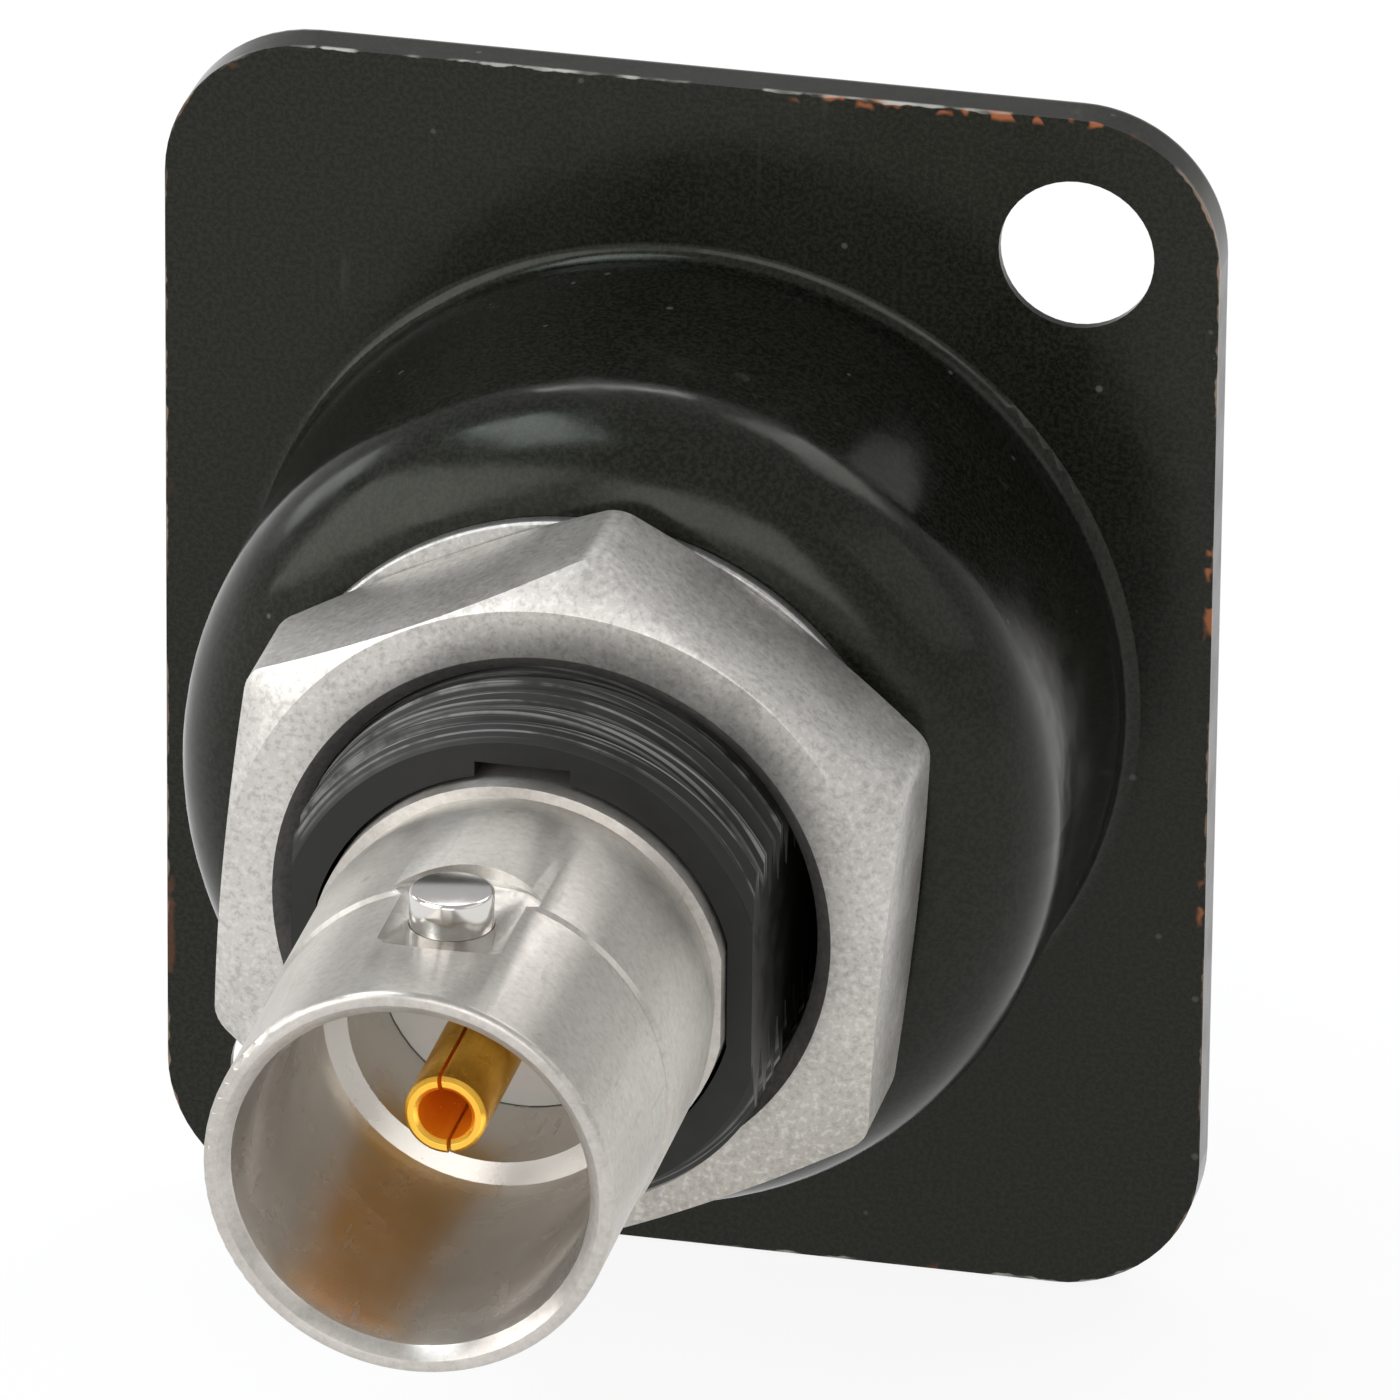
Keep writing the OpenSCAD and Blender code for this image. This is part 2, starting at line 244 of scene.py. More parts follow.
def blackPaint():
    look = paintLook
    material, tree, shader = newMaterial("blackPaint", Specular_IOR_Level=look["specular"],
        Specular_Tint=look["tint"])
    vector = objectCoords(tree)
    x, y, z = axesOf(tree, vector)
    # distance inside the flange's outline
    dx = math2(tree, "SUBTRACT", math2(tree, "ABSOLUTE", x), look["halfWidth"] - look["corner"])
    dz = math2(tree, "SUBTRACT", math2(tree, "ABSOLUTE", z), look["halfHeight"] - look["corner"])
    corner = lengthOf(tree, math2(tree, "MAXIMUM", dx, 0.0), math2(tree, "MAXIMUM", dz, 0.0))
    inner = math2(tree, "MINIMUM", math2(tree, "MAXIMUM", dx, dz), 0.0)
    depth = math2(tree, "SUBTRACT", look["corner"], math2(tree, "ADD", corner, inner))
    ragged = math2(tree, "SUBTRACT", noise(tree, vector, 1400.0, 2.0, 0.65), 0.5)
    edge = math2(tree, "ADD", depth, math2(tree, "MULTIPLY", ragged, look["raggedness"]))
    nearRear = remap(tree, math2(tree, "ABSOLUTE", y), 0.03 * mm, 0.16 * mm, 1.0, 0.0)
    # burr along the rear edge
    worn = math2(tree, "MULTIPLY", remap(tree, edge, 0.01 * mm, look["burrDepth"], 1.0, 0.0), nearRear)
    worn = math2(tree, "MULTIPLY", worn, remap(tree, noise(tree, vector, 420.0, 2.0, 0.7), 0.44, 0.60))
    # chips in clusters, fewer on the left
    clusters = remap(tree, noise(tree, vector, 160.0, 1.0), 0.56, 0.60)
    flakes = remap(tree, noise(tree, vector, 1500.0, 1.0, 0.65), 0.50, 0.58)
    chips = math2(tree, "MULTIPLY", remap(tree, edge, 0.1 * mm, look["chipDepth"], 1.0, 0.0),
        math2(tree, "MULTIPLY", clusters, flakes))
    chips = math2(tree, "MULTIPLY", chips, nearRear)
    chips = math2(tree, "MULTIPLY", chips, remap(tree, x, -9 * mm, -2 * mm, 0.2, 1.0))
    dust = placeGroup(tree, specks, Vector=vector, Scale=1100.0, Size=0.085, Share=0.30)["Mask"]
    hairs = placeGroup(tree, scratches, Vector=objectCoords(tree, (1.0, 1.0, 0.10), (0.0, 0.5, 0.0)),
        Scale=1500.0, Cut=0.69)["Mask"]
    grain = remap(tree, noise(tree, vector, 8200.0, 1.0, 0.75), 0.34, 0.66)
    shade = mixColour(tree, grain, *shades(look["colour"], *look["tones"]))
    shade = mixColour(tree, math2(tree, "MULTIPLY", hairs, look["hairAmount"]), shade, look["hair"])
    shade = mixColour(tree, math2(tree, "MULTIPLY", dust, look["dustAmount"]), shade, look["dust"])
    shade = mixColour(tree, chips, shade, look["copper"])
    # the long sides are worn brown, the short ones grey
    onSides = remap(tree, math2(tree, "SUBTRACT", dx, dz), -0.5 * mm, 0.5 * mm)
    shade = mixColour(tree, worn, shade, mixColour(tree, onSides, look["bare"], look["sideWear"]))
    tree.links.new(shade, shader.inputs["Base Color"])
    rough = remap(tree, noise(tree, vector, 700.0, 2.0), 0.3, 0.7, look["roughness"] - 0.04, look["roughness"] + 0.05)
    rough = math2(tree, "ADD", rough, math2(tree, "MULTIPLY", dust, 0.3))
    tree.links.new(rough, shader.inputs["Roughness"])
    peel = math2(tree, "ADD", noise(tree, vector, look["peelScale"], 1.0, 0.45),
        math2(tree, "MULTIPLY", noise(tree, vector, 420.0, 1.0), 1.2))
    bumpInto(tree, shader, peel, look["peelHeight"])
    return material


plasticLook = {"colour": (0.0098, 0.0098, 0.0082), "tones": (0.8, 1.3), "roughness": 0.42, "specular": 0.35,
    "scuff": (0.24, 0.235, 0.22), "scuffAmount": 0.85, "threadRoot": 5.95 * mm, "threadCrest": 6.3 * mm}


def blackPlastic():
    look = plasticLook
    material, tree, shader = newMaterial("blackPlastic", Specular_IOR_Level=look["specular"])
    vector = objectCoords(tree)
    x, y, z = axesOf(tree, vector)
    # fine pale lines rubbed into the thread's crests
    lines = placeGroup(tree, turning, Vector=vector, Pitch=15000.0, Along=1.0)["Value"]
    broken = remap(tree, noise(tree, vector, 450.0, 4.0, 0.65), 0.34, 0.56)
    scuffed = math2(tree, "MULTIPLY", remap(tree, lines, 0.50, 0.60), broken)
    scuffed = math2(tree, "MULTIPLY", scuffed, look["scuffAmount"])
    crest = math2(tree, "MULTIPLY", remap(tree, lengthOf(tree, x, z), look["threadRoot"], look["threadCrest"]),
        scuffed)
    shade = mixColour(tree, noise(tree, vector, 500.0, 2.0), *shades(look["colour"], *look["tones"]))
    shade = mixColour(tree, crest, shade, look["scuff"])
    tree.links.new(shade, shader.inputs["Base Color"])
    rough = remap(tree, noise(tree, vector, 1500.0, 2.0), 0.3, 0.7, look["roughness"] - 0.06, look["roughness"] + 0.08)
    tree.links.new(rough, shader.inputs["Roughness"])
    bumpInto(tree, shader, noise(tree, vector, 3800.0, 2.0), 0.006 * mm)
    return material


# one nickel finish for each turned or stamped piece
# the nut's finish carries painted shade, darker towards the lower right
nutFinish = {"colour": (0.55, 0.53, 0.50), "roughness": 0.38, "blotch": 0.08, "metallic": 0.88, "mottle": 0.30,
    "paintedShade": 0.6, "lineHeight": 0.0015 * mm}
washerFinish = {"colour": (0.48, 0.47, 0.45), "roughness": 0.42, "blotch": 0.05, "mottle": 0.3}
# the jack's lighter colour inside the bore is painted light
jackFinish = {"colour": (0.54, 0.51, 0.47), "roughness": 0.31, "blotch": 0.03, "metallic": 0.93, "mottle": 0.15,
    "anisotropy": 0.85, "bore": {"colour": (0.68, 0.65, 0.61), "roughness": 0.25, "from": 4.18 * mm, "to": 4.3 * mm},
    "spot": {"jackMiddle": -12.225 * mm, "fromMiddle": 12.075 * mm, "level": 4.62 * mm, "radius": 2.2 * mm}}
lugFinish = {"colour": (0.69, 0.67, 0.64), "roughness": 0.13, "blotch": 0.03}


def latheGrain(tree, shader, x, z):
    # highlights stretch across the lathe's lines, which run round the axis
    around = addNode(tree, "ShaderNodeCombineXYZ", "around")
    tree.links.new(z, around.inputs[0])
    tree.links.new(math2(tree, "MULTIPLY", x, -1.0), around.inputs[2])
    tangent = addNode(tree, "ShaderNodeVectorTransform", "to world", vector_type="VECTOR", convert_from="OBJECT",
        convert_to="WORLD")
    tree.links.new(around.outputs[0], tangent.inputs[0])
    tree.links.new(tangent.outputs[0], shader.inputs["Tangent"])


def milledFloor(tree, spot, x, y, z):
    # mask of the flat milled round each lug
    level = math2(tree, "ABSOLUTE", math2(tree, "SUBTRACT", math2(tree, "ABSOLUTE", z), spot["level"]))
    fromMiddle = math2(tree, "ABSOLUTE", math2(tree, "SUBTRACT", y, spot["jackMiddle"]))
    reach = lengthOf(tree, math2(tree, "SUBTRACT", fromMiddle, spot["fromMiddle"]), x)
    return math2(tree, "MULTIPLY", remap(tree, level, 0.006 * mm, 0.012 * mm, 1.0, 0.0),
        remap(tree, reach, spot["radius"] - 0.2 * mm, spot["radius"], 1.0, 0.0))


def nickel(name, colour, roughness, blotch, metallic=1.0, mottle=0.0, paintedShade=0.0, anisotropy=0.0, lineHeight=0.0,
        bore=None, spot=None):
    material, tree, shader = newMaterial(name, Metallic=metallic, Anisotropic=anisotropy, Anisotropic_Rotation=0.25)
    vector = objectCoords(tree)
    x, y, z = axesOf(tree, vector)
    latheGrain(tree, shader, x, z)
    cloud = remap(tree, noise(tree, vector, 300.0, 2.0, 0.5), 0.3, 0.7)
    shade = mixColour(tree, cloud, *shades(colour, 1 - blotch, 1 + blotch))
    if paintedShade:  # painted shade: darker and a little warmer towards the lower right
        side = math2(tree, "SUBTRACT", math2(tree, "MULTIPLY", x, 0.25), z)
        shadeShare = remap(tree, side, 0.0, 11 * mm, 1.0, 1.0 - paintedShade)
        shadeTone = mixColour(tree, shadeShare, (0.62, 0.58, 0.50), (1.0, 1.0, 1.0))
        shade = mixColour(tree, 1.0, shade, shadeTone, "MULTIPLY")
    if mottle:  # flecks and a few brown specks
        dulled = placeGroup(tree, flecks, Vector=vector, Scale=5200.0)
        shade = mixColour(tree, math2(tree, "MULTIPLY", dulled["Pale"], mottle), shade, (0.80, 0.79, 0.76))
        shade = mixColour(tree, math2(tree, "MULTIPLY", dulled["Dark"], mottle), shade, (0.22, 0.21, 0.20))
        spots = placeGroup(tree, specks, Vector=vector, Scale=700.0, Size=0.10, Share=0.18)["Mask"]
        shade = mixColour(tree, math2(tree, "MULTIPLY", spots, 0.5), shade, (0.26, 0.15, 0.07))
    if bore:  # painted light: the colour inside the bore is lighter; the plating there is also smoother
        inside = remap(tree, lengthOf(tree, x, z), bore["from"], bore["to"], 1.0, 0.0)
        shade = mixColour(tree, inside, shade, bore["colour"])
    marks = placeGroup(tree, scratches, Vector=objectCoords(tree, (1.0, 0.16, 1.0)), Scale=2600.0, Cut=0.66)["Mask"]
    shade = mixColour(tree, math2(tree, "MULTIPLY", marks, 0.2), shade, (0.2, 0.19, 0.17))
    tree.links.new(shade, shader.inputs["Base Color"])
    rough = remap(tree, noise(tree, vector, 900.0, 2.0), 0.3, 0.7, roughness - 0.02, roughness + 0.03)
    rough = math2(tree, "ADD", rough, math2(tree, "MULTIPLY", marks, 0.1))
    if bore:
        rough = math2(tree, "ADD", rough, math2(tree, "MULTIPLY", inside, bore["roughness"] - roughness))
    if spot:
        smoother = math2(tree, "MULTIPLY", milledFloor(tree, spot, x, y, z), 0.4)
        rough = math2(tree, "MULTIPLY", rough, math2(tree, "SUBTRACT", 1.0, smoother))
    tree.links.new(rough, shader.inputs["Roughness"])
    if lineHeight:
        lines = placeGroup(tree, turning, Vector=vector, Pitch=26000.0, Along=0.0)["Value"]
        bumpInto(tree, shader, lines, lineHeight)
    return material


insulatorLook = {"dark": (0.80, 0.80, 0.78), "pale": (0.86, 0.86, 0.85), "glow": 0.15, "glowReach": 0.6 * mm}


def milkyInsulator():
    look = insulatorLook
    material, tree, shader = newMaterial("milkyInsulator", Subsurface_Weight=look["glow"],
        Subsurface_Scale=look["glowReach"])
    vector = objectCoords(tree)
    shade = mixColour(tree, noise(tree, vector, 600.0, 2.0), look["dark"], look["pale"])
    tree.links.new(shade, shader.inputs["Base Color"])
    tree.links.new(remap(tree, noise(tree, vector, 900.0), 0.3, 0.7, 0.35, 0.48), shader.inputs["Roughness"])
    rings = placeGroup(tree, turning, Vector=vector, Pitch=16000.0, Along=0.0)["Value"]
    bumpInto(tree, shader, rings, 0.004 * mm)
    return material


# the deeper socket colour is painted light bounced round inside the contact's hole
goldLook = {"deep": (1.0, 0.52, 0.05), "pale": (1.0, 0.62, 0.10), "socket": (1.0, 0.40, 0.02),
    "socketFrom": 0.64 * mm, "socketTo": 0.68 * mm, "metallic": 0.90, "socketMatt": 0.5}


def goldPlate():
    look = goldLook
    material, tree, shader = newMaterial("goldPlate")
    vector = objectCoords(tree)
    x, y, z = axesOf(tree, vector)
    shade = mixColour(tree, noise(tree, vector, 1200.0, 3.0), look["deep"], look["pale"])
    # the socket's wall is less metallic, and its deep colour is painted light bounced round inside the hole
    inside = remap(tree, lengthOf(tree, x, z), look["socketFrom"], look["socketTo"], 1.0, 0.0)
    shade = mixColour(tree, inside, shade, look["socket"])
    matt = math2(tree, "MULTIPLY", inside, look["socketMatt"])
    tree.links.new(math2(tree, "SUBTRACT", look["metallic"], matt), shader.inputs["Metallic"])
    tree.links.new(shade, shader.inputs["Base Color"])
    tree.links.new(remap(tree, noise(tree, vector, 2200.0, 2.0), 0.3, 0.7, 0.16, 0.28), shader.inputs["Roughness"])
    lines = placeGroup(tree, turning, Vector=vector, Pitch=22000.0, Along=1.0)["Value"]
    bumpInto(tree, shader, lines, 0.003 * mm)
    return material


paint = blackPaint()
plastic = blackPlastic()
nutNickel = nickel("nutNickel", **nutFinish)
washerNickel = nickel("washerNickel", **washerFinish)
jackNickel = nickel("jackNickel", **jackFinish)
lugNickel = nickel("lugNickel", **lugFinish)
milky = milkyInsulator()
gold = goldPlate()
print("materials ready")

finishes = {"flange_plate": paint, "insulating_bush": plastic, "flat_washer": washerNickel, "hex_nut": nutNickel,
    "rear_jack": jackNickel, "front_jack": jackNickel, "rear_lug_top": lugNickel, "rear_lug_bottom": lugNickel,
    "front_lug_top": lugNickel, "front_lug_bottom": lugNickel, "rear_insulator": milky, "front_insulator": milky,
    "centre_contact": gold}
for nodeName, finish in finishes.items():
    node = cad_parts[nodeName]
    node.data.materials.clear()
    node.data.materials.append(finish)


# helpers for pieces

def finishPiece(mesh, name, material, replaced, smoothAngle):
    data = bpy.data.meshes.new(name)
    mesh.to_mesh(data)
    mesh.free()
    piece = bpy.data.objects.new(name, data)
    sceneCollection.objects.link(piece)
    data.materials.append(material)
    data.shade_smooth()
    data.set_sharp_from_angle(angle=math.radians(smoothAngle))
    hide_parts(*replaced)
    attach(piece, "root")


def spun(profile, steps=128):
    # a closed profile of (radius, y) in millimetres, turned round the connector's axis
    mesh = bmesh.new()
    corners = [mesh.verts.new((radius * mm, y * mm, 0)) for radius, y in profile]
    edges = [mesh.edges.new((a, b)) for a, b in zip(corners, corners[1:] + corners[:1])]
    bmesh.ops.spin(mesh, geom=corners + edges, cent=(0, 0, 0), axis=(0, 1, 0), dvec=(0, 0, 0), angle=math.tau,
        steps=steps, use_merge=True, use_duplicate=False)
    bmesh.ops.remove_doubles(mesh, verts=mesh.verts, dist=1e-7)
    bmesh.ops.recalc_face_normals(mesh, faces=mesh.faces)
    return mesh


def block(low, high):
    # a box between two corners in millimetres
    mesh = bmesh.new()
    bmesh.ops.create_cube(mesh, size=1.0)
    bmesh.ops.scale(mesh, verts=mesh.verts, vec=[(b - a) * mm for a, b in zip(low, high)])
    bmesh.ops.translate(mesh, verts=mesh.verts, vec=[(b + a) / 2 * mm for a, b in zip(low, high)])
    return mesh


def cutMesh(base, tools):
    # tools are pairs of an operation and a mesh; the meshes are used up and a new one is the result
    objects = []
    for index, mesh in enumerate([base] + [tool for operation, tool in tools]):
        data = bpy.data.meshes.new("cut" + str(index))
        mesh.to_mesh(data)
        mesh.free()
        objects.append(bpy.data.objects.new("cut" + str(index), data))
        sceneCollection.objects.link(objects[-1])
    for (operation, tool), item in zip(tools, objects[1:]):
        cut = objects[0].modifiers.new(operation, "BOOLEAN")
        cut.operation = operation
        cut.object = item
        cut.solver = "EXACT"
    result = bmesh.new()
    evaluated = objects[0].evaluated_get(bpy.context.evaluated_depsgraph_get())
    result.from_mesh(evaluated.to_mesh())
    evaluated.to_mesh_clear()
    for item in objects:
        bpy.data.objects.remove(item)
    bmesh.ops.remove_doubles(result, verts=result.verts, dist=2e-7)
    bmesh.ops.recalc_face_normals(result, faces=result.faces)
    return result


def softenEdges(mesh, width, above, segments):
    edges = [e for e in mesh.edges if len(e.link_faces) == 2 and e.calc_face_angle(0) > math.radians(above)]
    bmesh.ops.bevel(mesh, geom=edges, affect="EDGES", offset_type="OFFSET", offset=width, segments=segments,
        profile=0.5, material=-1, clamp_overlap=True, loop_slide=False)


def arc(centre, radius, start, end, steps):
    # points of an arc in (radius, y), angles in degrees from the outward direction towards +y
    return [(centre[0] + radius * math.cos(math.radians(start + (end - start) * i / steps)),
        centre[1] + radius * math.sin(math.radians(start + (end - start) * i / steps))) for i in range(steps + 1)]


# insulating bush with its thread

bushLook = {"rearEnd": -17.5, "dishFloor": -8.35, "collarEnd": -6.85, "collarRadius": 8.0, "major": 6.35,
    "minor": 5.83, "pitch": 25.4 / 28, "flankAngle": 30, "crest": 0.24, "turns": 14, "steps": 144, "flats": 11.1,
    "chamfer": 0.35, "boreRadius": 5.13, "boreFlats": 9.9, "neckHole": 4.2, "webRear": -12.975, "webFront": -11.475,
    "notchWidth": 2.3, "notchHeight": 0.25}


def threadRod():
    # a threaded rod: one zigzag line along the axis, spun one turn while it moves one pitch
    look = bushLook
    pitch, steps = look["pitch"], look["steps"]
    flank = (look["major"] - look["minor"]) * math.tan(math.radians(look["flankAngle"]))
    shape = ((0, look["minor"]), (pitch - 2 * flank - look["crest"] * pitch, look["minor"]),
        (pitch - flank - look["crest"] * pitch, look["major"]), (pitch - flank, look["major"]))
    first = look["rearEnd"] - 2 * pitch
    mesh = bmesh.new()
    line = [mesh.verts.new((radius * mm, (first + turn * pitch + along) * mm, 0)) for turn in range(look["turns"])
        for along, radius in shape]
    edges = [mesh.edges.new(pair) for pair in zip(line, line[1:])]
    bmesh.ops.spin(mesh, geom=line + edges, cent=(0, 0, 0), axis=(0, 1, 0), dvec=(0, pitch * mm / steps, 0),
        angle=math.tau, steps=steps, use_merge=False, use_duplicate=False)
    bmesh.ops.remove_doubles(mesh, verts=mesh.verts, dist=1e-6)
    for place, normal in ((look["rearEnd"] - 0.4, (0, -1, 0)), (look["dishFloor"] + 0.3, (0, 1, 0))):
        bmesh.ops.bisect_plane(mesh, geom=mesh.verts[:] + mesh.edges[:] + mesh.faces[:],
            plane_co=(0, place * mm, 0), plane_no=normal, clear_outer=True)
        rim = [e for e in mesh.edges if e.is_boundary and all(abs(v.co.y - place * mm) < 1e-6 for v in e.verts)]
        bmesh.ops.contextual_create(mesh, geom=rim)
    bmesh.ops.recalc_face_normals(mesh, faces=mesh.faces)
    return mesh


def doubleD(radius, flats, low, high):
    rod = spun([(0, low), (radius, low), (radius, high), (0, high)])
    return cutMesh(rod, [("INTERSECT", block((-flats / 2, low - 1, -radius - 1), (flats / 2, high + 1, radius + 1)))])


def buildBush():
    look = bushLook
    rear, major, chamfer = look["rearEnd"], look["major"], look["chamfer"]
    ends = spun([(0, rear), (major - chamfer - 0.05, rear), (major - chamfer, rear + 0.03),
        (major + 0.1, rear + chamfer + 0.1), (major + 0.1, look["dishFloor"] + 0.2), (0, look["dishFloor"] + 0.2)])
    flats = block((-look["flats"] / 2, rear - 1, -8), (look["flats"] / 2, look["dishFloor"] + 0.2, 8))
    collar = spun([(0, look["dishFloor"]), (look["collarRadius"] - 0.1, look["dishFloor"]),
        (look["collarRadius"], look["dishFloor"] + 0.1), (look["collarRadius"], look["collarEnd"] - chamfer),
        (look["collarRadius"] - chamfer, look["collarEnd"]), (0, look["collarEnd"])])
    rearRecess = doubleD(look["boreRadius"], look["boreFlats"], rear - 1, look["webRear"])
    frontRecess = doubleD(look["boreRadius"], look["boreFlats"], look["webFront"], look["collarEnd"] + 1)
    neck = spun([(0, look["webRear"] - 1), (look["neckHole"], look["webRear"] - 1),
        (look["neckHole"], look["webFront"] + 1), (0, look["webFront"] + 1)])
    notch = block((-look["notchWidth"] / 2, rear - 1, 0), (look["notchWidth"] / 2, rear + look["notchWidth"],
        look["boreRadius"] + look["notchHeight"]))
    bush = cutMesh(threadRod(), [("INTERSECT", ends), ("INTERSECT", flats), ("UNION", collar),
        ("DIFFERENCE", rearRecess), ("DIFFERENCE", frontRecess), ("DIFFERENCE", neck), ("DIFFERENCE", notch)])
    finishPiece(bush, "threadedBush", plastic, ["insulating_bush"], 24.0)


# hexagon nut and washer

nutLook = {"flats": 16.0, "rear": -14.45, "front": -10.15, "turn": 55, "faceRadius": 7.95, "faceAngle": 30,
    "hole": 6.37, "sink": 0.4, "cornerRound": 0.38, "edgeRound": 0.07}


def buildNut():
    look = nutLook
    corner = look["flats"] / math.sqrt(3)
    hexagon = bmesh.new()
    bmesh.ops.create_cone(hexagon, cap_ends=True, segments=6, radius1=corner * mm, radius2=corner * mm,
        depth=(look["front"] - look["rear"]) * mm)
    bmesh.ops.rotate(hexagon, verts=hexagon.verts, cent=(0, 0, 0), matrix=Matrix.Rotation(math.radians(-90), 3, "X"))
    bmesh.ops.rotate(hexagon, verts=hexagon.verts, cent=(0, 0, 0),
        matrix=Matrix.Rotation(math.radians(-look["turn"]), 3, "Y"))
    bmesh.ops.translate(hexagon, verts=hexagon.verts, vec=(0, (look["front"] + look["rear"]) / 2 * mm, 0))
    sides = [e for e in hexagon.edges if abs(e.verts[0].co.y - e.verts[1].co.y) > 1e-4]
    bmesh.ops.bevel(hexagon, geom=sides, affect="EDGES", offset_type="OFFSET", offset=look["cornerRound"] * mm,
        segments=4, profile=0.5, material=-1)
    # the chamfered blank reaches a little past the hexagon's corners
    reach = corner + 0.3
    drop = (reach - look["faceRadius"]) * math.tan(math.radians(look["faceAngle"]))
    blank = spun([(0, look["rear"]), (look["faceRadius"], look["rear"]), (reach, look["rear"] + drop),
        (reach, look["front"] - drop), (look["faceRadius"], look["front"]), (0, look["front"])], 144)
    sink, hole = look["sink"], look["hole"]
    bore = spun([(0, look["rear"] - 1), (hole + sink + 1, look["rear"] - 1), (hole, look["rear"] + sink),
        (hole, look["front"] - sink), (hole + sink + 1, look["front"] + 1), (0, look["front"] + 1)], 144)
    nut = cutMesh(hexagon, [("INTERSECT", blank), ("DIFFERENCE", bore)])
    softenEdges(nut, look["edgeRound"] * mm, 20.0, 3)
    finishPiece(nut, "hexNut", nutNickel, ["hex_nut"], 50.0)


washerLook = {"radius": 8.0, "hole": 6.85, "rear": -10.15, "front": -9.75, "across": -0.26, "up": 0.34, "round": 0.08}


def buildWasher():
    look = washerLook
    edge = look["round"]
    washer = spun([(look["hole"], look["rear"])] + arc((look["radius"] - edge, look["rear"] + edge), edge, -90, 0, 4)
        + arc((look["radius"] - edge, look["front"] - edge), edge, 0, 90, 4) + [(look["hole"], look["front"])])
    bmesh.ops.translate(washer, verts=washer.verts, vec=(look["across"] * mm, 0, look["up"] * mm))
    finishPiece(washer, "flatWasher", washerNickel, ["flat_washer"], 50.0)


# jacks, lugs and contact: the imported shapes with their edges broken

brokenEdge = {"nickel": 0.03, "gold": 0.02, "above": 25.0, "smoothAngle": 35.0}


def brokenCopy(nodeName, name, material, width):
    mesh = bmesh.new()
    mesh.from_mesh(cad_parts[nodeName].data)
    bmesh.ops.remove_doubles(mesh, verts=mesh.verts, dist=1e-6)
    bmesh.ops.dissolve_limit(mesh, angle_limit=math.radians(0.6), verts=mesh.verts, edges=mesh.edges)
    softenEdges(mesh, width * mm, brokenEdge["above"], 2)
    finishPiece(mesh, name, material, [nodeName], brokenEdge["smoothAngle"])


buildBush()
print("bush built")
buildNut()
buildWasher()
print("nut and washer built")
for end in ("rear", "front"):
    brokenCopy(end + "_jack", end + "Jack", jackNickel, brokenEdge["nickel"])
    for side in ("top", "bottom"):
        brokenCopy(end + "_lug_" + side, end + "Lug" + side.title(), lugNickel, brokenEdge["nickel"])
brokenCopy("centre_contact", "centreContact", gold, brokenEdge["gold"])
print("jacks, lugs and contact built")

# stage, lights and camera

stageLook = {"floorDrop": 15.6 * mm, "floorSize": 6.0, "floorColour": (0.86, 0.86, 0.86, 1), "cameraWhite": 0.86,
    "whiteLevel": 1.03, "softLight": 0.5, "wallLevel": (0.74, 0.74, 0.74, 1), "wallTop": 0.06,
    "ceilingLevel": (0.53, 0.53, 0.54, 1), "ceilingFrom": 0.40}


def seenDirectly(tree):
    # 1 for what the camera, a mirror or glass shows
    path = addNode(tree, "ShaderNodeLightPath", "path")
    return math2(tree, "ADD", path.outputs["Is Camera Ray"],
        math2(tree, "ADD", path.outputs["Is Glossy Ray"], path.outputs["Is Transmission Ray"]), clamp=True)


def makeStage():
    look = stageLook
    mesh = bmesh.new()
    bmesh.ops.create_grid(mesh, x_segments=1, y_segments=1, size=look["floorSize"])
    bmesh.ops.translate(mesh, verts=mesh.verts, vec=(0, 0, -look["floorDrop"]))
    data = bpy.data.meshes.new("floor")
    mesh.to_mesh(data)
    mesh.free()
    floor = bpy.data.objects.new("floor", data)
    sceneCollection.objects.link(floor)
    material = bpy.data.materials.new("paleFloor")
    material.use_nodes = True
    tree = material.node_tree
    tree.nodes.clear()
    diffuse = addNode(tree, "ShaderNodeBsdfDiffuse", "paper")
    diffuse.inputs["Color"].default_value = look["floorColour"]
    white = addNode(tree, "ShaderNodeEmission", "white")
    white.inputs["Strength"].default_value = look["whiteLevel"]
    mix = addNode(tree, "ShaderNodeMixShader", "mix")
    tree.links.new(math2(tree, "MULTIPLY", seenDirectly(tree), look["cameraWhite"]), mix.inputs[0])
    tree.links.new(diffuse.outputs[0], mix.inputs[1])
    tree.links.new(white.outputs[0], mix.inputs[2])
    output = addNode(tree, "ShaderNodeOutputMaterial", "out")
    tree.links.new(mix.outputs[0], output.inputs[0])
    data.materials.append(material)


def makeWorld():
    look = stageLook
    world = bpy.data.worlds.new("studio")
    bpy.context.scene.world = world
    world.use_nodes = True
    tree = world.node_tree
    tree.nodes.clear()
    coords = addNode(tree, "ShaderNodeTexCoord", "direction")
    height = axesOf(tree, coords.outputs["Generated"])[2]
    ramp = addNode(tree, "ShaderNodeValToRGB", "walls to ceiling")
    wall, ceiling = ramp.color_ramp.elements
    wall.position, wall.color = look["wallTop"], look["wallLevel"]
    ceiling.position, ceiling.color = look["ceilingFrom"], look["ceilingLevel"]
    tree.links.new(height, ramp.inputs[0])
    seenWalls = addNode(tree, "ShaderNodeBackground", "seen")
    tree.links.new(ramp.outputs[0], seenWalls.inputs["Color"])
    soft = addNode(tree, "ShaderNodeBackground", "soft light")
    soft.inputs["Color"].default_value = (1, 1, 1, 1)
    soft.inputs["Strength"].default_value = look["softLight"]
    mix = addNode(tree, "ShaderNodeMixShader", "mix")
    tree.links.new(seenDirectly(tree), mix.inputs[0])
    tree.links.new(soft.outputs[0], mix.inputs[1])
    tree.links.new(seenWalls.outputs[0], mix.inputs[2])
    output = addNode(tree, "ShaderNodeOutputWorld", "out")
    tree.links.new(mix.outputs[0], output.inputs[0])


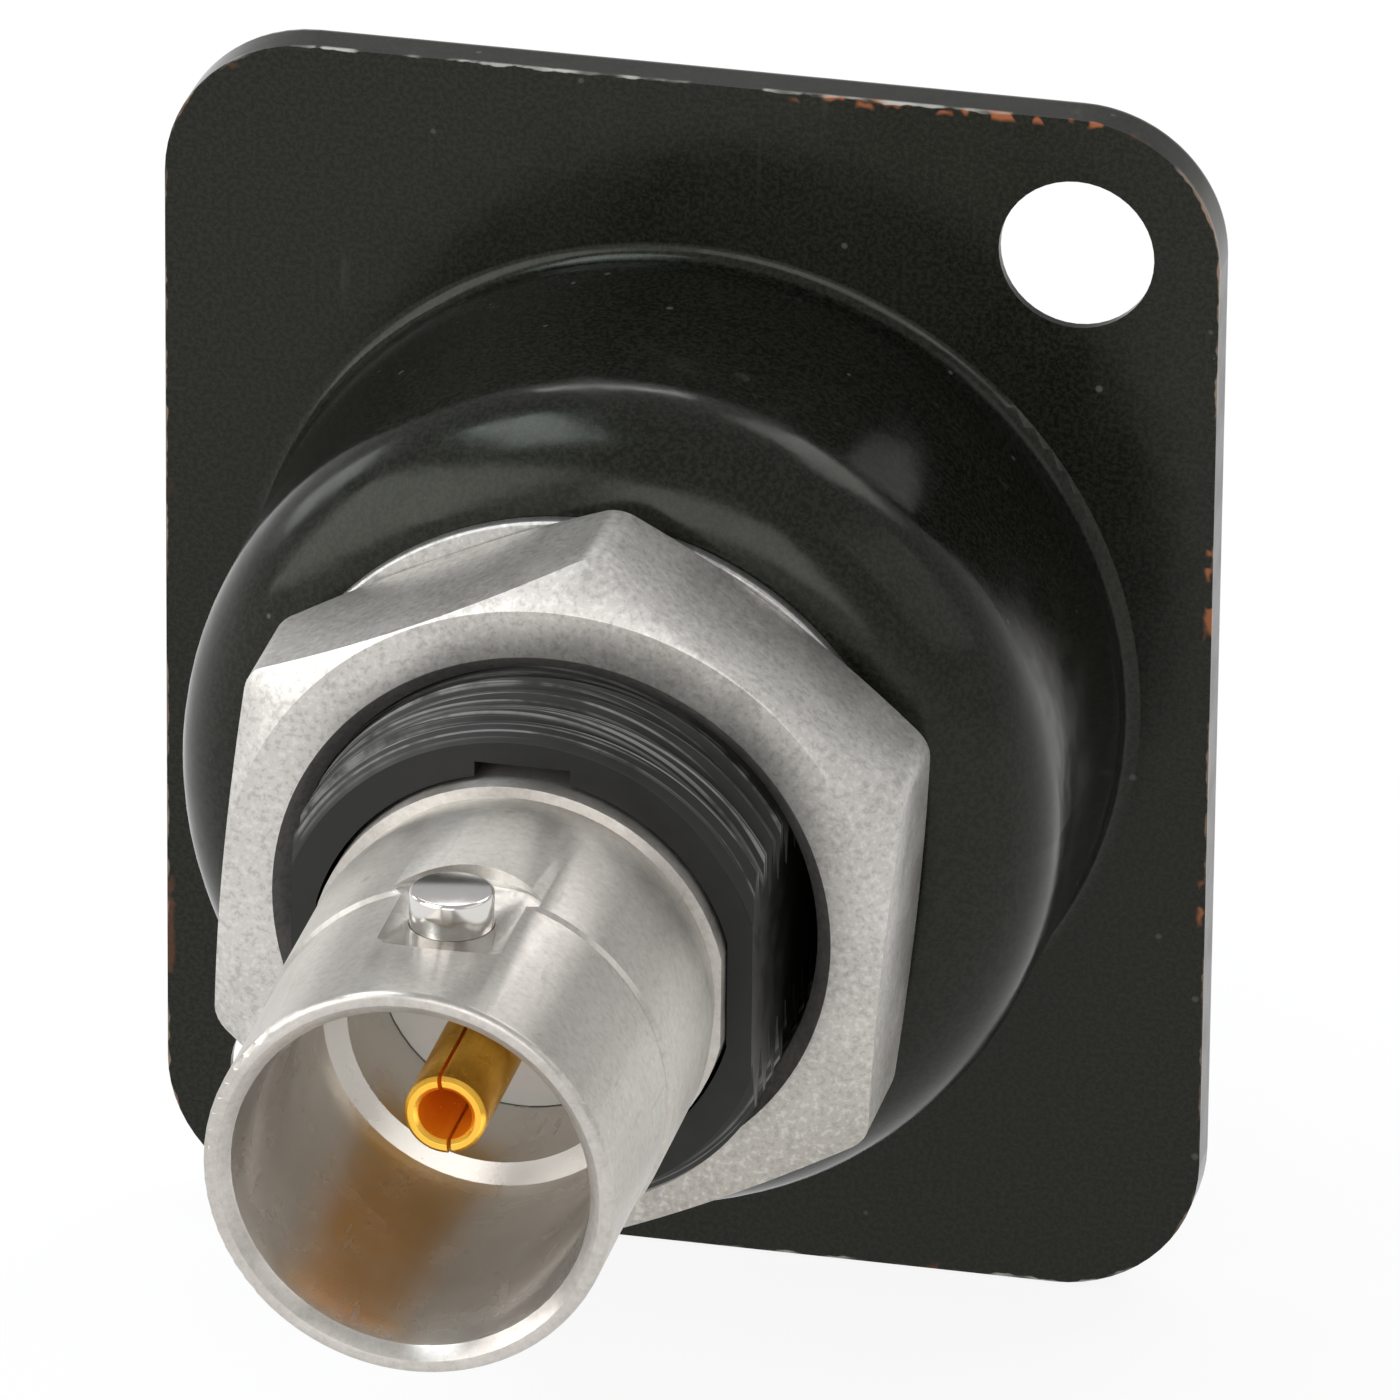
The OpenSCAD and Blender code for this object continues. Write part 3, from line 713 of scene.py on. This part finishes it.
# softboxes: direction from the object, distance and size in metres, brightness of the panel
neutral = (1.0, 1.0, 1.0)
softboxes = {
    "leftFront": {"direction": (-0.71, -0.60, 0.375), "distance": 0.60, "size": (0.62, 0.36), "radiance": 2.6,
        "colour": neutral},
    "front": {"direction": (0.05, -0.95, 0.28), "distance": 0.80, "size": (0.40, 0.40), "radiance": 2.4,
        "colour": neutral},
    "overheadLeft": {"direction": (-0.44, -0.16, 0.88), "distance": 0.50, "size": (0.28, 0.16), "radiance": 5.0,
        "colour": (0.86, 0.95, 1.0)},
    "behindAbove": {"direction": (-0.22, 0.70, 0.68), "distance": 0.60, "size": (0.24, 0.05), "radiance": 4.5,
        "colour": neutral},
    "leftBehind": {"direction": (-0.88, 0.30, 0.36), "distance": 0.60, "size": (0.16, 0.20), "radiance": 3.0,
        "colour": (0.94, 0.97, 1.0)},
    "rightBehind": {"direction": (0.40, 0.55, 0.73), "distance": 0.60, "size": (0.30, 0.22), "radiance": 2.3,
        "colour": neutral},
    "right": {"direction": (0.82, -0.20, 0.52), "distance": 0.80, "size": (0.70, 0.40), "radiance": 0.6,
        "colour": neutral}}


def softbox(name, direction, distance, size, radiance, colour):
    light = bpy.data.lights.new(name, "AREA")
    light.shape = "RECTANGLE"
    light.size, light.size_y = size
    light.color = colour
    light.energy = radiance * math.pi * size[0] * size[1]  # watts for this brightness of the panel
    lamp = bpy.data.objects.new(name, light)
    sceneCollection.objects.link(lamp)
    away = Vector(direction).normalized()
    lamp.location = away * distance
    lamp.rotation_euler = (-away).to_track_quat("-Z", "Y").to_euler()


cameraLook = {"sensor": 36, "lens": 470.10, "clip": (0.02, 20), "place": (0.08711085, -0.39417320, 0.18621639),
    "angles": (65.14335, -0.52131, 12.65029)}


def makeCamera():
    look = cameraLook
    data = bpy.data.cameras.new("camera")
    data.sensor_width = look["sensor"]
    data.lens = look["lens"]
    data.clip_start, data.clip_end = look["clip"]
    camera = bpy.data.objects.new("camera", data)
    sceneCollection.objects.link(camera)
    camera.location = look["place"]
    camera.rotation_euler = Euler([math.radians(a) for a in look["angles"]], "XYZ")
    bpy.context.scene.camera = camera


makeStage()
makeWorld()
for name, values in softboxes.items():
    softbox(name, **values)
makeCamera()
print("stage, lights and camera ready")

scene = bpy.context.scene
scene.view_settings.view_transform = "Standard"
